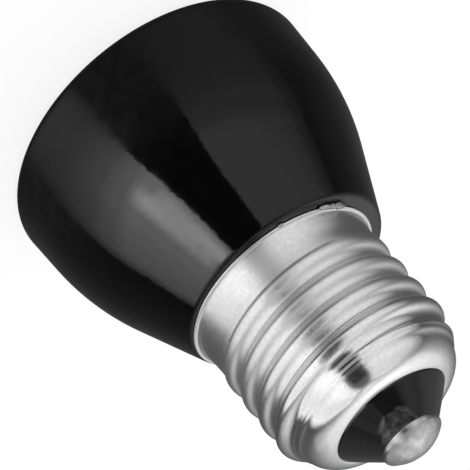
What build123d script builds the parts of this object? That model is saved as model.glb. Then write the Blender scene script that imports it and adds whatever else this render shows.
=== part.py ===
"""Ceramic heat emitter: a black glazed ceramic body on a threaded metal lamp cap.

The part stands on its flat front face, with the cap and its contact upwards. The body's axis is
+Z through the origin. The cap was cemented on a little off that axis, towards +X, so each cap
piece is drawn on the cap's own axis, with heights from the shoulder that the cap sits on.
Lengths are millimetres, and angles are degrees.
"""
import os
from math import asin, atan, cos, degrees, radians, sin, sqrt, tan

from build123d import *

os.makedirs("parts", exist_ok=True)

# Ceramic body: a nearly straight skirt, a long blend, and a flare up to the shoulder under the cap.
body_radius = 22.85
skirt_taper = 4.1
flare_height = 13.7
flare_blend = 6.5
shoulder_height = 30.0
shoulder_ledge = 0.85
front_edge_radius = 1.3
shoulder_edge_radius = 0.9

# Neck: the hidden spigot of the body, inside the cap, with room for the leads above it.
lead_space = 3.5
neck_chamfer = 0.8
neck_gap = 0.3

# Screw shell: thin rolled sheet with the right-hand thread of a 27 mm lamp cap.
cap_offset = 0.8
shell_wall = 0.4
thread_pitch = 3.629
thread_crest_radius = 13.1
thread_depth = 1.04
thread_start_height = 3.3
thread_run_in = 1.4
thread_run_out = 3.0
crest_height = 17.3
rim_bead_radius = 0.33
land_radius = 11.36
mouth_radius = 7.9
mouth_height = 22.7
overrun_angle = 21.0

# Insulator: a black glass plug moulded into the end of the shell, with a cone that stands out of it.
insulator_skirt = 1.2
insulator_toe = 0.25
insulator_rise = 3.65
glass_gap = 0.04

# Centre contact: a domed eyelet whose stem goes down through the insulator.
contact_radius = 4.2
contact_overhang = 0.05
contact_edge = 0.5
contact_edge_radius = 0.7
contact_dome = 1.7
contact_stem_radius = 1.7

# Solder of the side lead: beads on the shoulder beside the rim, each with its angle and its share of a radius.
solder_bead_radius = 0.5
solder_beads = [(207, 0.84), (210, 1.0), (214, 1.2), (218, 1.0), (222, 0.84), (251, 0.6)]
solder_sink = 0.12
solder_gap = 0.02

# How finely the threaded wall is followed, up the wall and round it.
points_per_pitch = 10
sections_per_half_turn = 8

# Values that follow from the ones above.
thread_root_radius = thread_crest_radius - thread_depth
flank_angle = 2 * atan(2 * thread_depth / thread_pitch)
knuckle_radius = thread_pitch / (4 * sin(flank_angle))
rim_bead_centre = thread_crest_radius + rim_bead_radius
rim_radius = rim_bead_centre + rim_bead_radius
rim_flare_height = 3 * rim_bead_radius
end_round_radius = land_radius - mouth_radius
end_round_height = mouth_height - end_round_radius
thread_end_height = end_round_height + end_round_radius * sin(radians(overrun_angle))
insulator_base_height = end_round_height - insulator_skirt
insulator_top_height = mouth_height + insulator_rise
insulator_top_radius = contact_radius - contact_overhang
contact_dome_height = insulator_top_height + contact_edge
contact_tip_height = contact_dome_height + contact_dome
neck_radius = thread_root_radius - shell_wall - cap_offset - neck_gap
neck_height = insulator_base_height - lead_space
shoulder_radius = rim_radius + shoulder_ledge
flare_radius = body_radius - flare_height * tan(radians(skirt_taper))
flare_taper = degrees(atan((flare_radius - shoulder_radius) / (shoulder_height - flare_height)))
flare_blend_radius = flare_blend / tan(radians(flare_taper - skirt_taper) / 2)
cap_axis = Axis((cap_offset, 0, 0), (0, 0, 1))


def cap_section(angle):
    """The plane through the cap's axis at an angle: x runs outwards, y up from the shoulder."""
    return Plane(
        origin=(cap_offset, 0, shoulder_height),
        x_dir=(cos(radians(angle)), sin(radians(angle)), 0),
        z_dir=(sin(radians(angle)), -cos(radians(angle)), 0),
    )


def smooth_step(value):
    """Rise smoothly from 0 to 1 while value goes from 0 to 1."""
    share = min(max(value, 0), 1)
    return share * share * (3 - 2 * share)


def thread_radius(angle, height):
    """Radius of an endless knuckle thread, whose crests and roots are equal arcs."""
    turns = (height - crest_height) / thread_pitch - angle / 360
    from_crest = abs(turns - round(turns)) * thread_pitch
    if from_crest < thread_pitch / 4:
        return thread_crest_radius - knuckle_radius + sqrt(knuckle_radius**2 - from_crest**2)
    from_root = thread_pitch / 2 - from_crest
    return thread_root_radius + knuckle_radius - sqrt(knuckle_radius**2 - from_root**2)


def wall_radius(angle, height, inset):
    """Radius of the rolled sheet, whose thread fades into the collar below and the end round above."""
    run_in = smooth_step((height - thread_start_height) / thread_run_in)
    run_out = smooth_step((thread_end_height - height) / thread_run_out)
    if run_in < 1:
        plain = thread_crest_radius - inset
    else:
        above_land = max(height - end_round_height, 0)
        plain = mouth_radius + sqrt((end_round_radius - inset) ** 2 - above_land**2)
    return plain + (thread_radius(angle, height) - inset - plain) * run_in * run_out


def overrun(inset):
    """Angle on the end round, from the level, at which the threaded wall runs into it."""
    return degrees(asin((thread_end_height - end_round_height) / (end_round_radius - inset)))


def threaded_wall(angle, inset):
    """One face of the sheet in section, from the rim's flare up to the end round."""
    threaded_length = thread_end_height - rim_flare_height
    steps = round(threaded_length / thread_pitch * points_per_pitch)
    shares = [step / steps for step in range(steps + 1)]
    heights = [rim_flare_height + share * threaded_length for share in shares]
    points = [(wall_radius(angle, height, inset), height) for height in heights]
    lean = radians(overrun(inset))
    return Edge.make_spline(points, tangents=[(0, 1), (-sin(lean), cos(lean))], parameters=shares)


# Ceramic body, cast in one with its neck
with BuildPart() as ceramic_body:
    with BuildSketch(Plane.XZ):
        with BuildLine():
            FilletPolyline(
                (body_radius, 0),
                (flare_radius, flare_height),
                (shoulder_radius, shoulder_height),
                radius=flare_blend_radius,
            )
            Polyline(
                (shoulder_radius, shoulder_height),
                (neck_radius, shoulder_height),
                (neck_radius, shoulder_height + neck_height),
                (0, shoulder_height + neck_height),
                (0, 0),
                (body_radius, 0),
            )
        make_face()
    revolve(axis=Axis.Z)
    circles = ceramic_body.edges().filter_by(GeomType.CIRCLE).sort_by(Axis.Z)
    shoulder_circles = circles.filter_by_position(Axis.Z, shoulder_height, shoulder_height)
    fillet(circles[0], front_edge_radius)
    fillet(shoulder_circles.sort_by(SortBy.LENGTH)[-1], shoulder_edge_radius)
    chamfer(circles[-1], neck_chamfer)
ceramic_body.part.label = "ceramic_body"
export_step(ceramic_body.part, "parts/ceramic_body.step")

# Screw shell, lofted in two half turns through sections of the sheet
with BuildPart() as screw_shell:
    for half_turn in (0, 180):
        for section in range(sections_per_half_turn + 1):
            angle = half_turn + section * 180 / sections_per_half_turn
            with BuildSketch(cap_section(angle)):
                with BuildLine():
                    Polyline(
                        (thread_crest_radius - shell_wall, rim_flare_height),
                        (thread_crest_radius - shell_wall, 0),
                        (rim_bead_centre, 0),
                    )
                    CenterArc((rim_bead_centre, rim_bead_radius), rim_bead_radius, -90, 180)
                    CenterArc((rim_bead_centre, rim_flare_height), rim_bead_radius, 180, 90)
                    for inset in (0, shell_wall):
                        add(threaded_wall(angle, inset))
                        CenterArc(
                            (mouth_radius, end_round_height),
                            end_round_radius - inset,
                            overrun(inset),
                            90 - overrun(inset),
                        )
                    Line((mouth_radius, mouth_height), (mouth_radius, mouth_height - shell_wall))
                make_face()
        loft(clean=False)
screw_shell.part.label = "screw_shell"
export_step(screw_shell.part, "parts/screw_shell.step")

# Insulator, moulded in the shell's end and out through its mouth
with BuildPart() as insulator:
    stem_hole_radius = contact_stem_radius + glass_gap
    plug_round_radius = end_round_radius - shell_wall - glass_gap
    plug_radius = mouth_radius + plug_round_radius
    plug_height = end_round_height + plug_round_radius
    with BuildSketch(cap_section(0)):
        with BuildLine():
            Polyline(
                (stem_hole_radius, insulator_top_height),
                (stem_hole_radius, insulator_base_height),
                (plug_radius, insulator_base_height),
                (plug_radius, end_round_height),
            )
            CenterArc((mouth_radius, end_round_height), plug_round_radius, 0, 90)
            Polyline(
                (mouth_radius, plug_height),
                (mouth_radius - glass_gap, plug_height),
                (mouth_radius - glass_gap, mouth_height + insulator_toe),
                (insulator_top_radius, insulator_top_height),
                (stem_hole_radius, insulator_top_height),
            )
        make_face()
    revolve(axis=cap_axis)
insulator.part.label = "insulator"
export_step(insulator.part, "parts/insulator.step")

# Centre contact, a domed head on the insulator and a stem through it
with BuildPart() as centre_contact:
    with BuildSketch(cap_section(0)):
        with BuildLine():
            TangentArc((0, contact_tip_height), (contact_radius, contact_dome_height), tangent=(1, 0))
            Polyline(
                (contact_radius, contact_dome_height),
                (contact_radius, insulator_top_height),
                (contact_stem_radius, insulator_top_height),
                (contact_stem_radius, insulator_base_height),
                (0, insulator_base_height),
                (0, contact_tip_height),
            )
        make_face()
    revolve(axis=cap_axis)
    rim_height = shoulder_height + contact_dome_height
    head_rim = centre_contact.edges().filter_by_position(Axis.Z, rim_height, rim_height)
    fillet(head_rim, min(contact_edge_radius, 2 * contact_edge))
centre_contact.part.label = "centre_contact"
export_step(centre_contact.part, "parts/centre_contact.step")

# Rim solder, beads that run together along the rim and stand on the shoulder
with BuildPart() as rim_solder:
    for bead_angle, bead_share in solder_beads:
        bead_radius = bead_share * solder_bead_radius
        bead_reach = rim_radius + solder_gap + bead_radius
        bead_place = (bead_reach, bead_radius - solder_sink, 0)
        with Locations(cap_section(bead_angle).from_local_coords(bead_place)):
            Sphere(bead_radius)
    split(bisect_by=Plane.XY.offset(shoulder_height), keep=Keep.TOP)
rim_solder.part.label = "rim_solder"
export_step(rim_solder.part, "parts/rim_solder.step")
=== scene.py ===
"""Looks of a ceramic heat emitter that stands on its front face, with its lamp cap upwards.

Lengths are metres and angles are degrees. +Z runs from the front face to the cap's contact, and -Y is
the side that is seen. Every piece but the solder is a profile that is drawn and turned.
"""
import math

import bmesh
import bpy
from mathutils import Matrix, Vector, noise


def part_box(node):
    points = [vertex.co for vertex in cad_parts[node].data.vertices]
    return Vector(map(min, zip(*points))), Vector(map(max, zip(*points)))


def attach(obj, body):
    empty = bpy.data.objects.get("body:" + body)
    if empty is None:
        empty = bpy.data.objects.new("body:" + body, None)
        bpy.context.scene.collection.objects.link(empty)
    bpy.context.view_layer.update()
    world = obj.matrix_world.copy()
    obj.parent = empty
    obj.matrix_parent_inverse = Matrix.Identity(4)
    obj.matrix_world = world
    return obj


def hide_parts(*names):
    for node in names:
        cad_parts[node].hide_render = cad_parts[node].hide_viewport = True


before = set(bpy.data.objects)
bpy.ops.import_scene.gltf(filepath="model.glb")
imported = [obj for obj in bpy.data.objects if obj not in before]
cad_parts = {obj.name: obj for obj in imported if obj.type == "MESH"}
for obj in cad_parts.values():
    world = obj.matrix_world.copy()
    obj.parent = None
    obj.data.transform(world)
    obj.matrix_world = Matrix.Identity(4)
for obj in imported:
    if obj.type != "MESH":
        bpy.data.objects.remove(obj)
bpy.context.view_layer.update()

# Ceramic body
# The casting that holds the heating coil: black glazed ceramic with a flat front face, a nearly straight
# skirt, a long flare, a shoulder under the cap and a neck inside it. It is moulded, glazed and fired.
front_radius = 0.02285
skirt_taper = 4.1
flare_height = 0.0137
flare_blend = 0.0065
shoulder_radius = 0.01461
front_edge_radius = 0.0013
shoulder_edge_radius = 0.0009
neck_radius = 0.01056
neck_chamfer = 0.0008
body_turn_steps = 256
merge_distance = 1e-6
glaze_colour = (0.0006, 0.0006, 0.0006, 1)
thin_glaze_colour = (0.0014, 0.0014, 0.0014, 1)
glaze_ior = 1.436
glaze_gloss = [(0, 1), (0.33, 0.9), (0.5, 0.33), (1, 0.33)]
patch_low = 0.3
patch_high = 0.7

neck_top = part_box("ceramic_body")[1].z
shoulder_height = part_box("screw_shell")[0].z


def draw_to(bm, pen, x, z, steps=1):
    """Draw a straight stretch of a profile from the pen to a place, in equal steps. Return the new pen."""
    start = pen.co.copy()
    end = Vector((x, 0, z))
    for step in range(steps):
        pen = bmesh.ops.extrude_vert_indiv(bm, verts=[pen])["verts"][0]
        pen.co = start.lerp(end, (step + 1) / steps)
    return pen


def draw_arc(bm, pen, x, z, turn, steps):
    """Draw an arc of a profile about a centre, by degrees from +Z towards +X. Return the new pen."""
    arc = bmesh.ops.spin(
        bm, geom=[pen], cent=(x, 0, z), axis=(0, 1, 0), angle=math.radians(turn), steps=steps
    )
    return arc["geom_last"][0]


def turn_profile(bm, axis_x, steps):
    """Turn the drawn profile once about an upright axis, and close its seam and poles."""
    geometry = bm.verts[:] + bm.edges[:]
    bmesh.ops.spin(
        bm,
        geom=geometry,
        cent=(axis_x, 0, 0),
        axis=(0, 0, 1),
        angle=math.tau,
        steps=steps,
        use_merge=True,
    )
    bmesh.ops.remove_doubles(bm, verts=bm.verts[:], dist=merge_distance)
    bmesh.ops.recalc_face_normals(bm, faces=bm.faces[:])


def finish_piece(bm, name, node, material):
    """Make the drawn mesh a smooth piece of the part that stands for a node and has its material slot."""
    mesh = bpy.data.meshes.new(name)
    bm.to_mesh(mesh)
    bm.free()
    mesh.shade_smooth()
    mesh.materials.append(material)
    piece = bpy.data.objects.new(name, mesh)
    bpy.context.scene.collection.objects.link(piece)
    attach(piece, "root")
    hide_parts(node)
    return piece


def new_material(name):
    """A material with its node tree and its Principled shader, ready for the finish's own nodes."""
    material = bpy.data.materials.new(name)
    material.use_nodes = True
    return material, material.node_tree, material.node_tree.nodes["Principled BSDF"]


def set_socket(tree, socket, value):
    """Set a socket to a value, or link it from another node's output."""
    if isinstance(value, bpy.types.NodeSocket):
        tree.links.new(value, socket)
    else:
        socket.default_value = value


def add_node(tree, kind, settings=None, **inputs):
    """Add a node with its settings, and set its inputs by name."""
    node = tree.nodes.new(kind)
    for setting, value in (settings or {}).items():
        setattr(node, setting, value)
    for name, value in inputs.items():
        set_socket(tree, node.inputs[name.replace("_", " ")], value)
    return node


def calculate(tree, operation, *values):
    """The result of a maths operation on values."""
    node = add_node(tree, "ShaderNodeMath", {"operation": operation})
    for socket, value in zip(node.inputs, values):
        set_socket(tree, socket, value)
    return node.outputs["Value"]


def rescale(tree, value, low, high):
    """A value's share of the way from a low value to a high one, from 0 to 1."""
    node = add_node(tree, "ShaderNodeMapRange", Value=value, From_Min=low, From_Max=high)
    return node.outputs["Result"]


def mix_nodes(tree, kind, share, first, second):
    """Mix two values or colours of a kind, FLOAT or RGBA, by a share from 0 to 1."""
    node = add_node(tree, "ShaderNodeMix", {"data_type": kind})
    sockets = {"FLOAT": (0, 2, 3, 0), "RGBA": (0, 6, 7, 2)}[kind]
    for socket, value in zip(sockets, (share, first, second)):
        set_socket(tree, node.inputs[socket], value)
    return node.outputs[sockets[3]]


def mix_colour(tree, shader, share, first, second):
    """Colour a shader by a mix of two colours."""
    tree.links.new(mix_nodes(tree, "RGBA", share, first, second), shader.inputs["Base Color"])


uneven_surface = bpy.data.node_groups.new("uneven_surface", "ShaderNodeTree")
for socket in ("Scale", "Smooth", "Rough", "Depth"):
    uneven_surface.interface.new_socket(name=socket, in_out="INPUT", socket_type="NodeSocketFloat")
for socket in ("Patches", "Roughness"):
    uneven_surface.interface.new_socket(name=socket, in_out="OUTPUT", socket_type="NodeSocketFloat")
uneven_surface.interface.new_socket(name="Normal", in_out="OUTPUT", socket_type="NodeSocketVector")
given = add_node(uneven_surface, "NodeGroupInput").outputs
on_surface = add_node(uneven_surface, "ShaderNodeTexCoord").outputs["Object"]
ripple = add_node(uneven_surface, "ShaderNodeTexNoise", Vector=on_surface, Scale=given["Scale"], Detail=3)
patches = rescale(uneven_surface, ripple.outputs["Fac"], patch_low, patch_high)
roughness = mix_nodes(uneven_surface, "FLOAT", patches, given["Smooth"], given["Rough"])
dents = add_node(uneven_surface, "ShaderNodeBump", Height=ripple.outputs["Fac"], Distance=given["Depth"])
made = add_node(uneven_surface, "NodeGroupOutput").inputs
uneven_surface.links.new(patches, made["Patches"])
uneven_surface.links.new(roughness, made["Roughness"])
uneven_surface.links.new(dents.outputs["Normal"], made["Normal"])


def uneven_finish(tree, shader, scale, smooth, rough, depth):
    """Give a shader patches of two roughnesses and shallow dents, and return the patches for its colour."""
    group = {"node_tree": uneven_surface}
    finish = add_node(tree, "ShaderNodeGroup", group, Scale=scale, Smooth=smooth, Rough=rough, Depth=depth)
    tree.links.new(finish.outputs["Roughness"], shader.inputs["Roughness"])
    tree.links.new(finish.outputs["Normal"], shader.inputs["Normal"])
    return finish.outputs["Patches"]


def add_fade(tree, along, stops):
    """A value that runs smoothly through stops, each a place from 0 to 1 and the value there."""
    fade = add_node(tree, "ShaderNodeValToRGB", Fac=along)
    fade.color_ramp.interpolation = "EASE"
    elements = fade.color_ramp.elements
    for stop, value in stops[1:-1]:
        elements.new(stop).color = (value, value, value, 1)
    for end in (0, -1):
        elements[end].color = (stops[end][1], stops[end][1], stops[end][1], 1)
    return fade.outputs["Color"]


def roughen_by_height(tree, shader, low, high, stops):
    """Multiply a finish's roughness by stops that run from a low place up the part to a high one."""
    on_piece = add_node(tree, "ShaderNodeTexCoord").outputs["Object"]
    height = add_node(tree, "ShaderNodeSeparateXYZ", Vector=on_piece).outputs["Z"]
    fade = add_fade(tree, rescale(tree, height, low, high), stops)
    even_roughness = shader.inputs["Roughness"].links[0].from_socket
    tree.links.new(calculate(tree, "MULTIPLY", even_roughness, fade), shader.inputs["Roughness"])


flare_radius = front_radius - flare_height * math.tan(math.radians(skirt_taper))
flare_taper = math.degrees(math.atan((flare_radius - shoulder_radius) / (shoulder_height - flare_height)))
blend_radius = flare_blend / math.tan(math.radians(flare_taper - skirt_taper) / 2)
skirt_run = Vector((-math.sin(math.radians(skirt_taper)), 0, math.cos(math.radians(skirt_taper))))
flare_run = Vector((-math.sin(math.radians(flare_taper)), 0, math.cos(math.radians(flare_taper))))
blend_start = Vector((flare_radius, 0, flare_height)) - flare_blend * skirt_run
blend_centre = blend_start - blend_radius * Vector((skirt_run.z, 0, -skirt_run.x))
front_turn = 90 + skirt_taper
front_flat = front_radius - front_edge_radius * math.tan(math.radians(front_turn) / 2)
shoulder_turn = 90 - flare_taper
shoulder_inset = shoulder_edge_radius * math.tan(math.radians(shoulder_turn) / 2)
shoulder_flat = shoulder_radius - shoulder_inset
shoulder_centre_z = shoulder_height - shoulder_edge_radius
flare_end = Vector((shoulder_radius, 0, shoulder_height)) - shoulder_inset * flare_run

body_mesh = bmesh.new()
pen = body_mesh.verts.new((0, 0, 0))
pen = draw_to(body_mesh, pen, front_flat, 0, steps=12)
pen = draw_arc(body_mesh, pen, front_flat, front_edge_radius, -front_turn, steps=14)
pen = draw_to(body_mesh, pen, blend_start.x, blend_start.z, steps=10)
pen = draw_arc(body_mesh, pen, blend_centre.x, blend_centre.z, skirt_taper - flare_taper, steps=24)
pen = draw_to(body_mesh, pen, flare_end.x, flare_end.z, steps=10)
pen = draw_arc(body_mesh, pen, shoulder_flat, shoulder_centre_z, -shoulder_turn, steps=12)
pen = draw_to(body_mesh, pen, neck_radius, shoulder_height, steps=6)
pen = draw_to(body_mesh, pen, neck_radius, neck_top - neck_chamfer, steps=2)
pen = draw_to(body_mesh, pen, neck_radius - neck_chamfer, neck_top)
draw_to(body_mesh, pen, 0, neck_top, steps=2)
turn_profile(body_mesh, 0, body_turn_steps)

glaze, tree, shader = new_material("black_glaze")
thin_glaze = uneven_finish(tree, shader, scale=620, smooth=0.15, rough=0.3, depth=0.000018)
mix_colour(tree, shader, thin_glaze, glaze_colour, thin_glaze_colour)
roughen_by_height(tree, shader, 0, shoulder_height, glaze_gloss)
shader.inputs["IOR"].default_value = glaze_ior
glazed_body = finish_piece(body_mesh, "glazed_body", "ceramic_body", glaze)

# Screw shell
# The thin nickel-plated sheet of the lamp cap, drawn as a plain cup with a flared rim and a rounded end.
# Its right-hand knuckle thread is then rolled into it, and it is cemented over the ceramic's neck.
shell_wall = 0.0004
thread_pitch = 0.003629
thread_crest_radius = 0.0131
thread_depth = 0.00104
crest_height = 0.01758
thread_run_out = 0.0033
first_ridge = -3
groove_start = -0.05
groove_growth = 0.45
collar_inset = 0.00038
collar_foot_inset = 0.00006
collar_taper = 0.0038
crease_start = -0.37
crease_growth = 0.06
crease_drop = 0.00024
crease_flank = 0.00055
smooth_flank = 0.0032
land_beads = [(0.0004, 0.00011, 0.00028), (-0.00039, 0.00007, 0.0002)]
last_grooves = [(-0.0012, 0.00017, 0.00045), (-0.0019, 0.00014, 0.0004)]
last_groove_start = -0.5
last_groove_end = -0.12
last_groove_fade = 0.14
rim_radius = 0.01366
rim_bead_radius = 0.00014
rim_flare_radius = 0.00034
end_round_radius = 0.00346
mouth_radius = 0.0079
mouth_edge_radius = 0.00015
overrun_angle = 21.0
shell_turn_steps = 288
wall_rows = 190
inner_wall_rows = 44
nickel_colour = (0.78, 0.78, 0.78, 1)
dull_nickel_colour = (0.72, 0.72, 0.72, 1)
nickel_gloss = [(0, 0.85), (0.19, 0.85), (0.26, 1), (0.45, 1), (0.62, 0.8), (0.85, 0.4), (1, 0.38)]

shell_low, shell_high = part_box("screw_shell")
cap_x = (shell_low.x + shell_high.x) / 2
mouth_height = shell_high.z - shoulder_height
thread_root_radius = thread_crest_radius - thread_depth
knuckle_radius = thread_pitch / (4 * math.sin(2 * math.atan(2 * thread_depth / thread_pitch)))
collar_low = 2 * rim_bead_radius + rim_flare_radius
end_round_height = mouth_height - end_round_radius
thread_end_height = end_round_height + end_round_radius * math.sin(math.radians(overrun_angle))


def smooth_step(value):
    """Rise smoothly from 0 to 1 while value goes from 0 to 1."""
    share = min(max(value, 0), 1)
    return share * share * (3 - 2 * share)


def thread_radius(turn, height):
    """Radius of an endless knuckle thread, whose crests and roots are equal arcs."""
    turns = (height - crest_height) / thread_pitch - turn
    from_crest = abs(turns - round(turns)) * thread_pitch
    if from_crest < thread_pitch / 4:
        return thread_crest_radius - knuckle_radius + math.sqrt(knuckle_radius**2 - from_crest**2)
    from_root = thread_pitch / 2 - from_crest
    return thread_root_radius + knuckle_radius - math.sqrt(knuckle_radius**2 - from_root**2)


def collar_share(turn, turns):
    """How far a place is set in from the crests to the collar. The wall sets in below the first ridge, in a
    crease from where that starts, and further round the helix it sets in smoothly below the next ridge.
    """
    below = (first_ridge - turns) * thread_pitch
    crease = smooth_step((turn - crease_start) / crease_growth)
    creased = smooth_step((below - crease_drop) / crease_flank)
    uncreased = smooth_step(below / smooth_flank)
    below_first = creased * crease + uncreased * (1 - crease)
    below_next = smooth_step((below - thread_pitch) / smooth_flank)
    next_ridge = smooth_step((turn - groove_start) / groove_growth)
    return below_first * (1 - next_ridge) + below_next * next_ridge


def pressed_lines(turn, above_round):
    """Swell of the lines pressed above the thread: beads all round, and grooves that fade at both ends.
    Each line has a rise from the foot of the end round, a height or depth, and a width.
    """
    grooved = smooth_step(min(turn - last_groove_start, last_groove_end - turn) / last_groove_fade)
    swell = 0
    for rise, depth, width in last_grooves:
        swell -= grooved * depth * math.exp(-(((above_round - rise) / width) ** 2))
    for rise, height, width in land_beads:
        swell += height * math.exp(-(((above_round - rise) / width) ** 2))
    return swell


def rolled_radius(turn, height, inset):
    """Radius of the rolled sheet, less an inset. The thread's first groove grows out of the collar along
    the helix, the collar widens to its foot, and the thread fades into the end round above.
    """
    turns = (height - crest_height) / thread_pitch - turn
    along = math.floor(turns) - first_ridge + 1 + turn
    groove = smooth_step((along - groove_start) / groove_growth)
    threaded = thread_crest_radius - (thread_crest_radius - thread_radius(turn, height)) * groove
    taper = max(1 - (height - collar_low) / collar_taper, 0) ** 2
    tapered_inset = collar_inset + (collar_foot_inset - collar_inset) * taper
    threaded -= tapered_inset * collar_share(turn, turns)
    above_round = height - end_round_height
    plain = mouth_radius + math.sqrt((end_round_radius - inset) ** 2 - max(above_round, 0) ** 2)
    run_out = smooth_step((thread_end_height - height) / thread_run_out)
    return plain + (threaded - inset - plain) * run_out + pressed_lines(turn, above_round)


def overrun(inset):
    """Angle on the end round, from the level, at which the rolled wall runs into it."""
    return math.degrees(math.asin((thread_end_height - end_round_height) / (end_round_radius - inset)))


def shell_x(radius):
    """Place across the part of a radius about the cap's own axis."""
    return cap_x + radius


def shell_z(height):
    """Place up the part of a height above the shoulder that the cap sits on."""
    return shoulder_height + height


inner_radius = thread_crest_radius - shell_wall
bead_x = shell_x(rim_radius - rim_bead_radius)
flare_x = shell_x(thread_crest_radius - collar_foot_inset + rim_flare_radius)
round_x = shell_x(mouth_radius)
round_z = shell_z(end_round_height)
land_x = round_x + end_round_radius * math.cos(math.radians(overrun(0)))
mouth_turn = math.degrees(math.asin(mouth_edge_radius / (end_round_radius - mouth_edge_radius)))
mouth_edge_z = round_z + (end_round_radius - mouth_edge_radius) * math.cos(math.radians(mouth_turn))

shell_mesh = bmesh.new()
rim_start = shell_mesh.verts.new((shell_x(inner_radius), 0, shell_z(0)))
pen = draw_to(shell_mesh, rim_start, bead_x, shell_z(0), steps=2)
pen = draw_arc(shell_mesh, pen, bead_x, shell_z(rim_bead_radius), -180, steps=14)
pen = draw_to(shell_mesh, pen, flare_x, shell_z(2 * rim_bead_radius), steps=3)
pen = draw_arc(shell_mesh, pen, flare_x, shell_z(collar_low), 90, steps=6)
pen = draw_to(shell_mesh, pen, shell_x(thread_crest_radius), shell_z(collar_low))
pen = draw_to(shell_mesh, pen, shell_x(thread_crest_radius), shell_z(thread_end_height), steps=wall_rows)
pen = draw_to(shell_mesh, pen, land_x, shell_z(thread_end_height))
pen = draw_arc(shell_mesh, pen, round_x, round_z, overrun(0) - 90 + mouth_turn, steps=22)
pen = draw_arc(shell_mesh, pen, round_x + mouth_edge_radius, mouth_edge_z, -90 - mouth_turn, steps=7)
pen = draw_to(shell_mesh, pen, round_x, shell_z(mouth_height - shell_wall))
pen = draw_arc(shell_mesh, pen, round_x, round_z, 90 - overrun(shell_wall), steps=8)
pen = draw_to(shell_mesh, pen, shell_x(inner_radius), shell_z(thread_end_height))
pen = draw_to(shell_mesh, pen, shell_x(inner_radius), shell_z(collar_low), steps=inner_wall_rows)
shell_mesh.edges.new((pen, rim_start))
turn_profile(shell_mesh, cap_x, shell_turn_steps)

for vert in shell_mesh.verts:
    wall_height = vert.co.z - shoulder_height
    if collar_low - merge_distance < wall_height < thread_end_height + merge_distance:
        across = Vector((vert.co.x - cap_x, vert.co.y))
        wall_inset = thread_crest_radius - across.length
        if abs(wall_inset) < merge_distance or abs(wall_inset - shell_wall) < merge_distance:
            wall_turn = math.atan2(across.y, across.x) / math.tau
            across *= rolled_radius(wall_turn, wall_height, wall_inset) / across.length
            vert.co.x = cap_x + across.x
            vert.co.y = across.y
bmesh.ops.remove_doubles(shell_mesh, verts=shell_mesh.verts[:], dist=merge_distance)

nickel, tree, shader = new_material("nickel_sheet")
dull_nickel = uneven_finish(tree, shader, scale=2400, smooth=0.32, rough=0.44, depth=0.000005)
mix_colour(tree, shader, dull_nickel, nickel_colour, dull_nickel_colour)
roughen_by_height(tree, shader, shell_z(0), shell_z(mouth_height), nickel_gloss)
shader.inputs["Metallic"].default_value = 1
threaded_shell = finish_piece(shell_mesh, "threaded_shell", "screw_shell", nickel)

# Insulator
# The plug of black glass in the end of the shell. It is melted into the end, swells out of the mouth
# as a cone and carries the centre contact. A slightly raised tongue of it below the contact is painted
# lighter and mottled: a painted reflection of the contact in the glass.
glass_gap = 0.00004
glass_toe = 0.00006
stem_radius = 0.0017
contact_overhang = 0.00005
# Place, size, wavy edge and lumps of the raised tongue under the contact that carries the painted
# reflection.
reflection_patch_side = -86.0
reflection_patch_half_width = 0.0029
reflection_patch_length = 0.00185
reflection_patch_edge = 0.2
reflection_patch_edge_wave = 0.25
reflection_patch_edge_scale = 900
reflection_patch_thickness = 0.00008
reflection_patch_lump_scale = 1400
glass_turn_steps = 192
glass_colour = (0.0015, 0.0015, 0.0015, 1)
# The tongue's colours are lighter than the glass: a painted reflection of the contact, mottled by noise.
painted_reflection_colour = (0.014, 0.014, 0.014, 1)
pale_painted_reflection_colour = (0.07, 0.07, 0.07, 1)
painted_reflection_grain = 1100
pale_reflection_low = 0.42
pale_reflection_high = 0.72
glass_ior = 1.52

contact_low, contact_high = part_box("centre_contact")
contact_radius = (contact_high.x - contact_low.x) / 2
glass_low, glass_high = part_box("insulator")
plug_radius = end_round_radius - shell_wall - glass_gap
stem_hole_x = shell_x(stem_radius + glass_gap)
cone_foot_x = shell_x(mouth_radius - glass_gap)

glass_mesh = bmesh.new()
plug_start = glass_mesh.verts.new((stem_hole_x, 0, glass_low.z))
pen = draw_to(glass_mesh, plug_start, round_x + plug_radius, glass_low.z, steps=3)
pen = draw_to(glass_mesh, pen, round_x + plug_radius, round_z, steps=2)
pen = draw_arc(glass_mesh, pen, round_x, round_z, -90, steps=12)
pen = draw_to(glass_mesh, pen, cone_foot_x, pen.co.z)
pen = draw_to(glass_mesh, pen, cone_foot_x, shell_z(mouth_height + glass_toe), steps=3)
pen = draw_to(glass_mesh, pen, shell_x(contact_radius - contact_overhang), glass_high.z, steps=40)
pen = draw_to(glass_mesh, pen, stem_hole_x, glass_high.z, steps=3)
pen = draw_to(glass_mesh, pen, stem_hole_x, glass_low.z + glass_toe, steps=3)
glass_mesh.edges.new((pen, plug_start))
turn_profile(glass_mesh, cap_x, glass_turn_steps)

# Mask of the tongue under the contact: it raises the glass in lumps and marks where the painted reflection
# goes.
reflection_patch_layer = glass_mesh.verts.layers.float.new("reflection_patch")
for vert in glass_mesh.verts:
    across = Vector((vert.co.x - cap_x, vert.co.y))
    along = math.atan2(across.y, across.x) - math.radians(reflection_patch_side)
    reach = math.hypot(along * across.length / reflection_patch_half_width, (glass_high.z - vert.co.z) / reflection_patch_length)
    edge = 1 + reflection_patch_edge_wave * noise.noise(vert.co * reflection_patch_edge_scale)
    vert[reflection_patch_layer] = smooth_step((edge - reach) / reflection_patch_edge)
    if vert.co.z > shell_z(mouth_height):
        lumps = 1 + noise.noise(vert.co * reflection_patch_lump_scale)
        vert.co += vert.normal * reflection_patch_thickness * vert[reflection_patch_layer] * lumps

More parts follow.
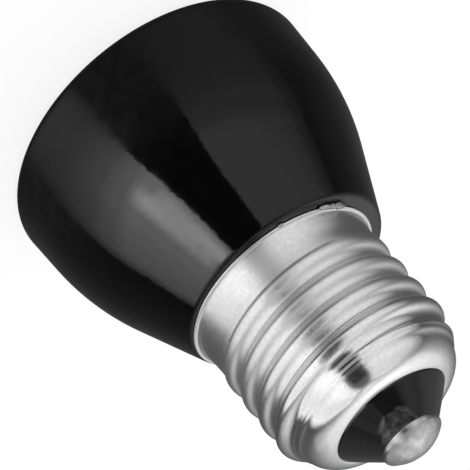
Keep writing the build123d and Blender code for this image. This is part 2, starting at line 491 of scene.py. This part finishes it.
glass, tree, shader = new_material("black_glass")
uneven_finish(tree, shader, scale=420, smooth=0.05, rough=0.14, depth=0.00002)
# Painted reflection: the glass is painted lighter and mottled inside the tongue's mask, below the contact.
reflection_patch = add_node(tree, "ShaderNodeAttribute", {"attribute_name": "reflection_patch"}).outputs["Fac"]
on_glass = add_node(tree, "ShaderNodeTexCoord").outputs["Object"]
reflection_patch_noise = add_node(tree, "ShaderNodeTexNoise", Vector=on_glass, Scale=painted_reflection_grain, Detail=2)
pale_reflection = rescale(tree, reflection_patch_noise.outputs["Fac"], pale_reflection_low, pale_reflection_high)
painted_reflection = mix_nodes(tree, "RGBA", pale_reflection, painted_reflection_colour, pale_painted_reflection_colour)
mix_colour(tree, shader, reflection_patch, glass_colour, painted_reflection)
shader.inputs["IOR"].default_value = glass_ior
cap_glass = finish_piece(glass_mesh, "cap_glass", "insulator", glass)

# Centre contact
# The domed eyelet on the glass, brass dipped in tin, with its stem down through the plug. It is set in
# the glass while that is soft, and the coil's lead is soldered in it, which leaves its dome lumpy.
contact_edge = 0.0005
contact_edge_radius = 0.0007
dome_lump_height = 0.00005
dome_lump_scale = 750
contact_turn_steps = 160
tin_colour = (0.56, 0.56, 0.56, 1)
dull_tin_colour = (0.36, 0.36, 0.36, 1)

dome_rise = contact_high.z - glass_high.z - contact_edge
dome_radius = (contact_radius**2 + dome_rise**2) / (2 * dome_rise)
dome_centre = contact_high.z - dome_radius
round_reach = contact_radius - contact_edge_radius
dome_turn = math.degrees(math.asin(round_reach / (dome_radius - contact_edge_radius)))
round_centre = dome_centre + math.sqrt((dome_radius - contact_edge_radius) ** 2 - round_reach**2)

contact_mesh = bmesh.new()
pen = contact_mesh.verts.new((shell_x(0), 0, contact_high.z))
pen = draw_arc(contact_mesh, pen, shell_x(0), dome_centre, dome_turn, steps=40)
pen = draw_arc(contact_mesh, pen, shell_x(round_reach), round_centre, 90 - dome_turn, steps=8)
pen = draw_to(contact_mesh, pen, shell_x(contact_radius), glass_high.z, steps=2)
pen = draw_to(contact_mesh, pen, shell_x(stem_radius), glass_high.z, steps=2)
pen = draw_to(contact_mesh, pen, shell_x(stem_radius), contact_low.z, steps=2)
draw_to(contact_mesh, pen, shell_x(0), contact_low.z)
turn_profile(contact_mesh, cap_x, contact_turn_steps)
for vert in contact_mesh.verts:
    if vert.co.z > glass_high.z + contact_edge / 2:
        vert.co += vert.normal * dome_lump_height * noise.noise(vert.co * dome_lump_scale)

tin, tree, shader = new_material("tinned_contact")
dull_tin = uneven_finish(tree, shader, scale=900, smooth=0.2, rough=0.42, depth=0.00005)
mix_colour(tree, shader, dull_tin, tin_colour, dull_tin_colour)
shader.inputs["Metallic"].default_value = 1
contact_button = finish_piece(contact_mesh, "contact_button", "centre_contact", tin)

# Rim solder
# The smear of solder where the coil's other lead is joined to the shell's rim, with one drop beside it.
# Its lumps run together, and it lies on the ceramic's shoulder against the rim.
solder_lumps = [(211, 0.00042), (214, 0.0006), (218, 0.0005), (222, 0.0005), (225, 0.00042), (251, 0.0003)]
lump_shape = Vector((0.8, 1.6, 0.7, 1))
lump_reach = 0.3
lump_lift = 0.5
lump_ripple = 0.15
lump_ripple_scale = 1600
lump_ripple_seed = 3
lump_voxel = 0.00006
solder_colour = (0.5, 0.5, 0.5, 1)
dull_solder_colour = (0.36, 0.36, 0.36, 1)

solder_mesh = bmesh.new()
noise.seed_set(lump_ripple_seed)
for lump_angle, lump_radius in solder_lumps:
    lump_turn = Matrix.Rotation(math.radians(lump_angle), 4, "Z")
    lump_place = Matrix.Translation((shell_x(0), 0, shoulder_height)) @ lump_turn
    lump_step = (rim_radius + lump_reach * lump_radius, 0, lump_lift * lump_radius)
    lump_place = lump_place @ Matrix.Translation(lump_step) @ Matrix.Diagonal(lump_shape)
    lump = bmesh.ops.create_icosphere(solder_mesh, subdivisions=3, radius=lump_radius, matrix=lump_place)
    for vert in lump["verts"]:
        vert.co += lump_ripple * lump_radius * noise.noise_vector(vert.co * lump_ripple_scale)

solder, tree, shader = new_material("solder")
dull_solder = uneven_finish(tree, shader, scale=1500, smooth=0.35, rough=0.5, depth=0.00001)
mix_colour(tree, shader, dull_solder, solder_colour, dull_solder_colour)
shader.inputs["Metallic"].default_value = 1
lead_solder = finish_piece(solder_mesh, "lead_solder", "rim_solder", solder)
run_together = lead_solder.modifiers.new("run_together", "REMESH")
run_together.mode = "VOXEL"
run_together.voxel_size = lump_voxel
run_together.use_smooth_shade = True
settle = lead_solder.modifiers.new("settle", "SMOOTH")
settle.factor = 0.5
settle.iterations = 6

# Floor
# A plain pale floor that the part stands on. It glows a little, so that the part's shadow stays faint.
# The gloss of the part doesn't mirror it, but the soft boxes, which reach below its level.
floor_radius = 4.0
floor_colour = (0.3, 0.3, 0.3, 1)
floor_roughness = 0.9
floor_glow = 0.87

floor_mesh = bmesh.new()
bmesh.ops.create_circle(floor_mesh, cap_ends=True, segments=96, radius=floor_radius)
pale, tree, shader = new_material("pale_floor")
shader.inputs["Base Color"].default_value = floor_colour
shader.inputs["Roughness"].default_value = floor_roughness
shader.inputs["Emission Color"].default_value = (1, 1, 1, 1)
shader.inputs["Emission Strength"].default_value = floor_glow
mesh = bpy.data.meshes.new("floor")
floor_mesh.to_mesh(mesh)
floor_mesh.free()
mesh.materials.append(pale)
floor = bpy.data.objects.new("floor", mesh)
floor.visible_glossy = False
floor.visible_shadow = False
bpy.context.scene.collection.objects.link(floor)

# Studio light
# A dark room that glows overhead and behind the part. Two pairs of tall soft boxes stand either side of the
# camera, with a dark gap between: one pair for the metal, and one with a bright lamp for the black pieces.
# Small glow boxes and a white card before the part fill in what is left for the gloss to mirror.
front_glow = [
    (-90, 0.15), (-45, 0.15), (-28, 0.17), (-16, 0.13), (-9, 0.115), (-4, 0.09), (1, 0.05), (18, 0.03),
    (28, 0.02), (40, 0.03), (52, 0.1), (64, 0.11), (72, 0.14), (80, 0.5), (90, 1),
]
back_glow = [
    (-90, 0.08), (0, 0.09), (13, 0.12), (23, 0.2), (30, 0.28), (40, 0.41), (47, 0.58), (60, 0.95),
    (75, 1.15), (90, 1.5),
]
back_way = Vector((-0.1, 0.466, 0.879))
back_blend = 0.3
backdrop_glow = 1.0
box_low = -1.0
lamp_box_high = 1.89
soft_box_high = 4.0
squeeze_low = 0.18
squeeze_high = 0.49
glow_distance = 0.7
peaked_fade = [(0, 0), (0.5, 1), (1, 0)]
level_fade = [(0, 0), (0.3, 1), (0.7, 1), (1, 0)]
broad_fade = [(0, 0), (0.1, 1), (0.9, 1), (1, 0)]
part_middle = Vector((0, 0, 0.03))
black_pieces = [glazed_body, cap_glass]
metal_pieces = [threaded_shell, contact_button, lead_solder]


def by_height(glow):
    """The stops of a glow by elevation, as places on a ramp from straight down to straight up."""
    return [((1 + math.sin(math.radians(elevation))) / 2, brightness) for elevation, brightness in glow]


room = bpy.data.worlds.new("studio")
room.use_nodes = True
tree = room.node_tree
direction = add_node(tree, "ShaderNodeTexCoord").outputs["Generated"]
axes = add_node(tree, "ShaderNodeSeparateXYZ", Vector=direction).outputs
in_front = add_fade(tree, rescale(tree, axes["Z"], -1, 1), by_height(front_glow))
facing = add_node(tree, "ShaderNodeVectorMath", {"operation": "DOT_PRODUCT"})
set_socket(tree, facing.inputs[0], direction)
set_socket(tree, facing.inputs[1], back_way)
at_back = add_fade(tree, rescale(tree, facing.outputs["Value"], -1, 1), by_height(back_glow))
behind = rescale(tree, axes["Y"], -back_blend, back_blend)
room_glow = mix_nodes(tree, "FLOAT", behind, in_front, at_back)
seen = add_node(tree, "ShaderNodeLightPath").outputs["Is Camera Ray"]
seen_glow = mix_nodes(tree, "FLOAT", seen, room_glow, backdrop_glow)
tree.links.new(seen_glow, tree.nodes["Background"].inputs["Strength"])
tree.nodes["Background"].inputs["Color"].default_value = (1, 1, 1, 1)
bpy.context.scene.world = room


def soft_box(name, place, aim, size, brightness, across, up, pieces, squeeze=(1, 1)):
    """A soft box that shines at an aim, on some of the pieces. It fades by stops across it and up it, and
    is squeezed by two shares, at its foot and at its head.
    """
    light = bpy.data.lights.new(name, "AREA")
    light.shape = "RECTANGLE"
    light.size, light.size_y = size
    light.energy = math.pi * light.size * light.size_y * brightness
    light.use_nodes = True
    tree = light.node_tree
    on_box = add_node(tree, "ShaderNodeNewGeometry").outputs["Parametric"]
    axes = add_node(tree, "ShaderNodeSeparateXYZ", Vector=on_box).outputs
    narrowing = mix_nodes(tree, "FLOAT", rescale(tree, axes["Y"], squeeze_low, squeeze_high), *squeeze)
    from_middle = calculate(tree, "SUBTRACT", axes["X"], 0.5)
    place_across = calculate(tree, "MULTIPLY_ADD", from_middle, narrowing, 0.5)
    fade_across = add_fade(tree, place_across, across)
    fade_up = add_fade(tree, axes["Y"], up)
    strength = calculate(tree, "MULTIPLY", fade_across, fade_up)
    tree.links.new(strength, tree.nodes["Emission"].inputs["Strength"])
    box = bpy.data.objects.new(name, light)
    box.location = part_middle + place
    box.rotation_euler = (place - aim).to_track_quat("Z", "Y").to_euler()
    box.visible_camera = False
    bpy.context.scene.collection.objects.link(box)
    lit_pieces = bpy.data.collections.new(name + "_pieces")
    for piece in pieces:
        lit_pieces.objects.link(piece)
    box.light_linking.receiver_collection = lit_pieces


def side_box(name, distance, start, end, high, brightness, across, up, pieces, squeeze):
    """An upright soft box from one azimuth to another. Azimuth 0 is the camera's side, and +90 is +X."""
    middle = math.radians((start + end) / 2)
    place = Vector((math.sin(middle), -math.cos(middle), 0)) * distance
    place.z = distance * (box_low + high) / 2
    size = (2 * distance * math.tan(math.radians(end - start) / 2), distance * (high - box_low))
    soft_box(name, place, Vector((0, 0, place.z)), size, brightness, across, up, pieces, squeeze)


def glow_box(name, azimuth, elevation, size, brightness, fade, pieces):
    """A small soft box on the room's wall, which shines at the part's middle and fades alike both ways."""
    around = math.radians(azimuth)
    rise = math.radians(elevation)
    way = Vector((math.sin(around) * math.cos(rise), -math.cos(around) * math.cos(rise), math.sin(rise)))
    soft_box(name, glow_distance * way, Vector((0, 0, 0)), size, brightness, fade, fade, pieces)


side_box(
    "left_lamp_box",
    distance=0.8,
    start=-100,
    end=-14,
    high=lamp_box_high,
    brightness=0.87,
    across=[(0, 0), (0.15, 0.35), (0.27, 0.72), (0.38, 0.85), (0.57, 0.97), (0.985, 1), (1, 0)],
    up=[(0, 0.04), (0.09, 0.08), (0.17, 0.2), (0.25, 0.3), (0.33, 0.55), (0.42, 1), (0.7, 0.85), (1, 0.3)],
    pieces=black_pieces,
    squeeze=(1.24, 1),
)
side_box(
    "left_soft_box",
    distance=0.9,
    start=-100,
    end=-9,
    high=soft_box_high,
    brightness=1.05,
    across=[(0, 0), (0.15, 0.35), (0.27, 0.72), (0.38, 0.85), (0.57, 0.97), (0.9, 1), (1, 0)],
    up=[
        (0, 0.2), (0.05, 0.3), (0.1, 0.5), (0.15, 0.6), (0.19, 0.75), (0.24, 1), (0.4, 0.85), (0.58, 0.75),
        (1, 0.7),
    ],
    pieces=metal_pieces,
    squeeze=(1, 1.15),
)
side_box(
    "right_soft_box",
    distance=0.9,
    start=13,
    end=91,
    high=soft_box_high,
    brightness=1.35,
    across=[
        (0, 0), (0.1, 1), (0.3, 1), (0.46, 0.85), (0.57, 0.76), (0.7, 0.8), (0.83, 0.9), (0.9, 0.7),
        (0.96, 0.3), (1, 0),
    ],
    up=[
        (0, 0.3), (0.05, 0.5), (0.1, 0.8), (0.15, 0.8), (0.19, 0.8), (0.24, 1), (0.4, 0.9), (0.58, 0.75),
        (1, 0.7),
    ],
    pieces=metal_pieces,
    squeeze=(1, 1.15),
)
side_box(
    "right_lamp_box",
    distance=0.8,
    start=20,
    end=91,
    high=lamp_box_high,
    brightness=3.3,
    across=[
        (0, 0), (0.015, 1), (0.2, 1), (0.46, 0.88), (0.6, 0.71), (0.74, 0.57), (0.86, 0.45), (0.94, 0.25),
        (1, 0),
    ],
    up=[
        (0, 0.06), (0.09, 0.1), (0.17, 0.23), (0.25, 0.37), (0.33, 0.68), (0.38, 1), (0.43, 0.95),
        (0.5, 0.5), (1, 0.1),
    ],
    pieces=black_pieces,
    squeeze=(1.24, 1),
)
glow_box("lamp_glow", 30, 17, size=(0.26, 0.26), brightness=4.0, fade=peaked_fade, pieces=black_pieces)
glow_box("low_lamp_glow", 40, 9, size=(0.26, 0.26), brightness=4.0, fade=peaked_fade, pieces=black_pieces)
glow_box("right_glow", 118, 38, size=(0.55, 0.55), brightness=0.2, fade=level_fade, pieces=metal_pieces)
for name, side in (("left_low_glow", -70), ("right_low_glow", 70)):
    glow_box(name, side, -58, size=(0.5, 0.35), brightness=0.4, fade=level_fade, pieces=metal_pieces)
glow_box("high_glow", 42, 68, size=(0.19, 0.26), brightness=0.24, fade=broad_fade, pieces=[cap_glass])
soft_box(
    "white_card",
    place=Vector((0, -0.15, -0.029)),
    aim=Vector((0, -0.15, 0)),
    size=(0.5, 0.2),
    brightness=0.26,
    across=[(0, 1), (1, 1)],
    up=[(0, 0), (0.12, 1), (0.88, 1), (1, 0)],
    pieces=metal_pieces,
)

# Camera
# It looks down at the part from the front, and is rolled until the part lies across the picture.
# Its lens is long, so that the part's sides hardly draw together.
camera_place = Vector((0.0008, -0.18755, 0.12896))
camera_aim = Vector((0.0013, 0, 0.01956))
camera_roll = 140.05
camera_lens = 128.67
camera_data = bpy.data.cameras.new("camera")
camera_data.lens = camera_lens
camera_data.sensor_width = 36
camera_data.clip_start = 0.01
camera = bpy.data.objects.new("camera", camera_data)
camera_turn = (camera_aim - camera_place).to_track_quat("-Z", "Y").to_matrix().to_4x4()
camera_spin = Matrix.Rotation(math.radians(camera_roll), 4, "Z")
camera.matrix_world = Matrix.Translation(camera_place) @ camera_turn @ camera_spin
bpy.context.scene.collection.objects.link(camera)
bpy.context.scene.camera = camera
bpy.context.scene.view_settings.view_transform = "Standard"
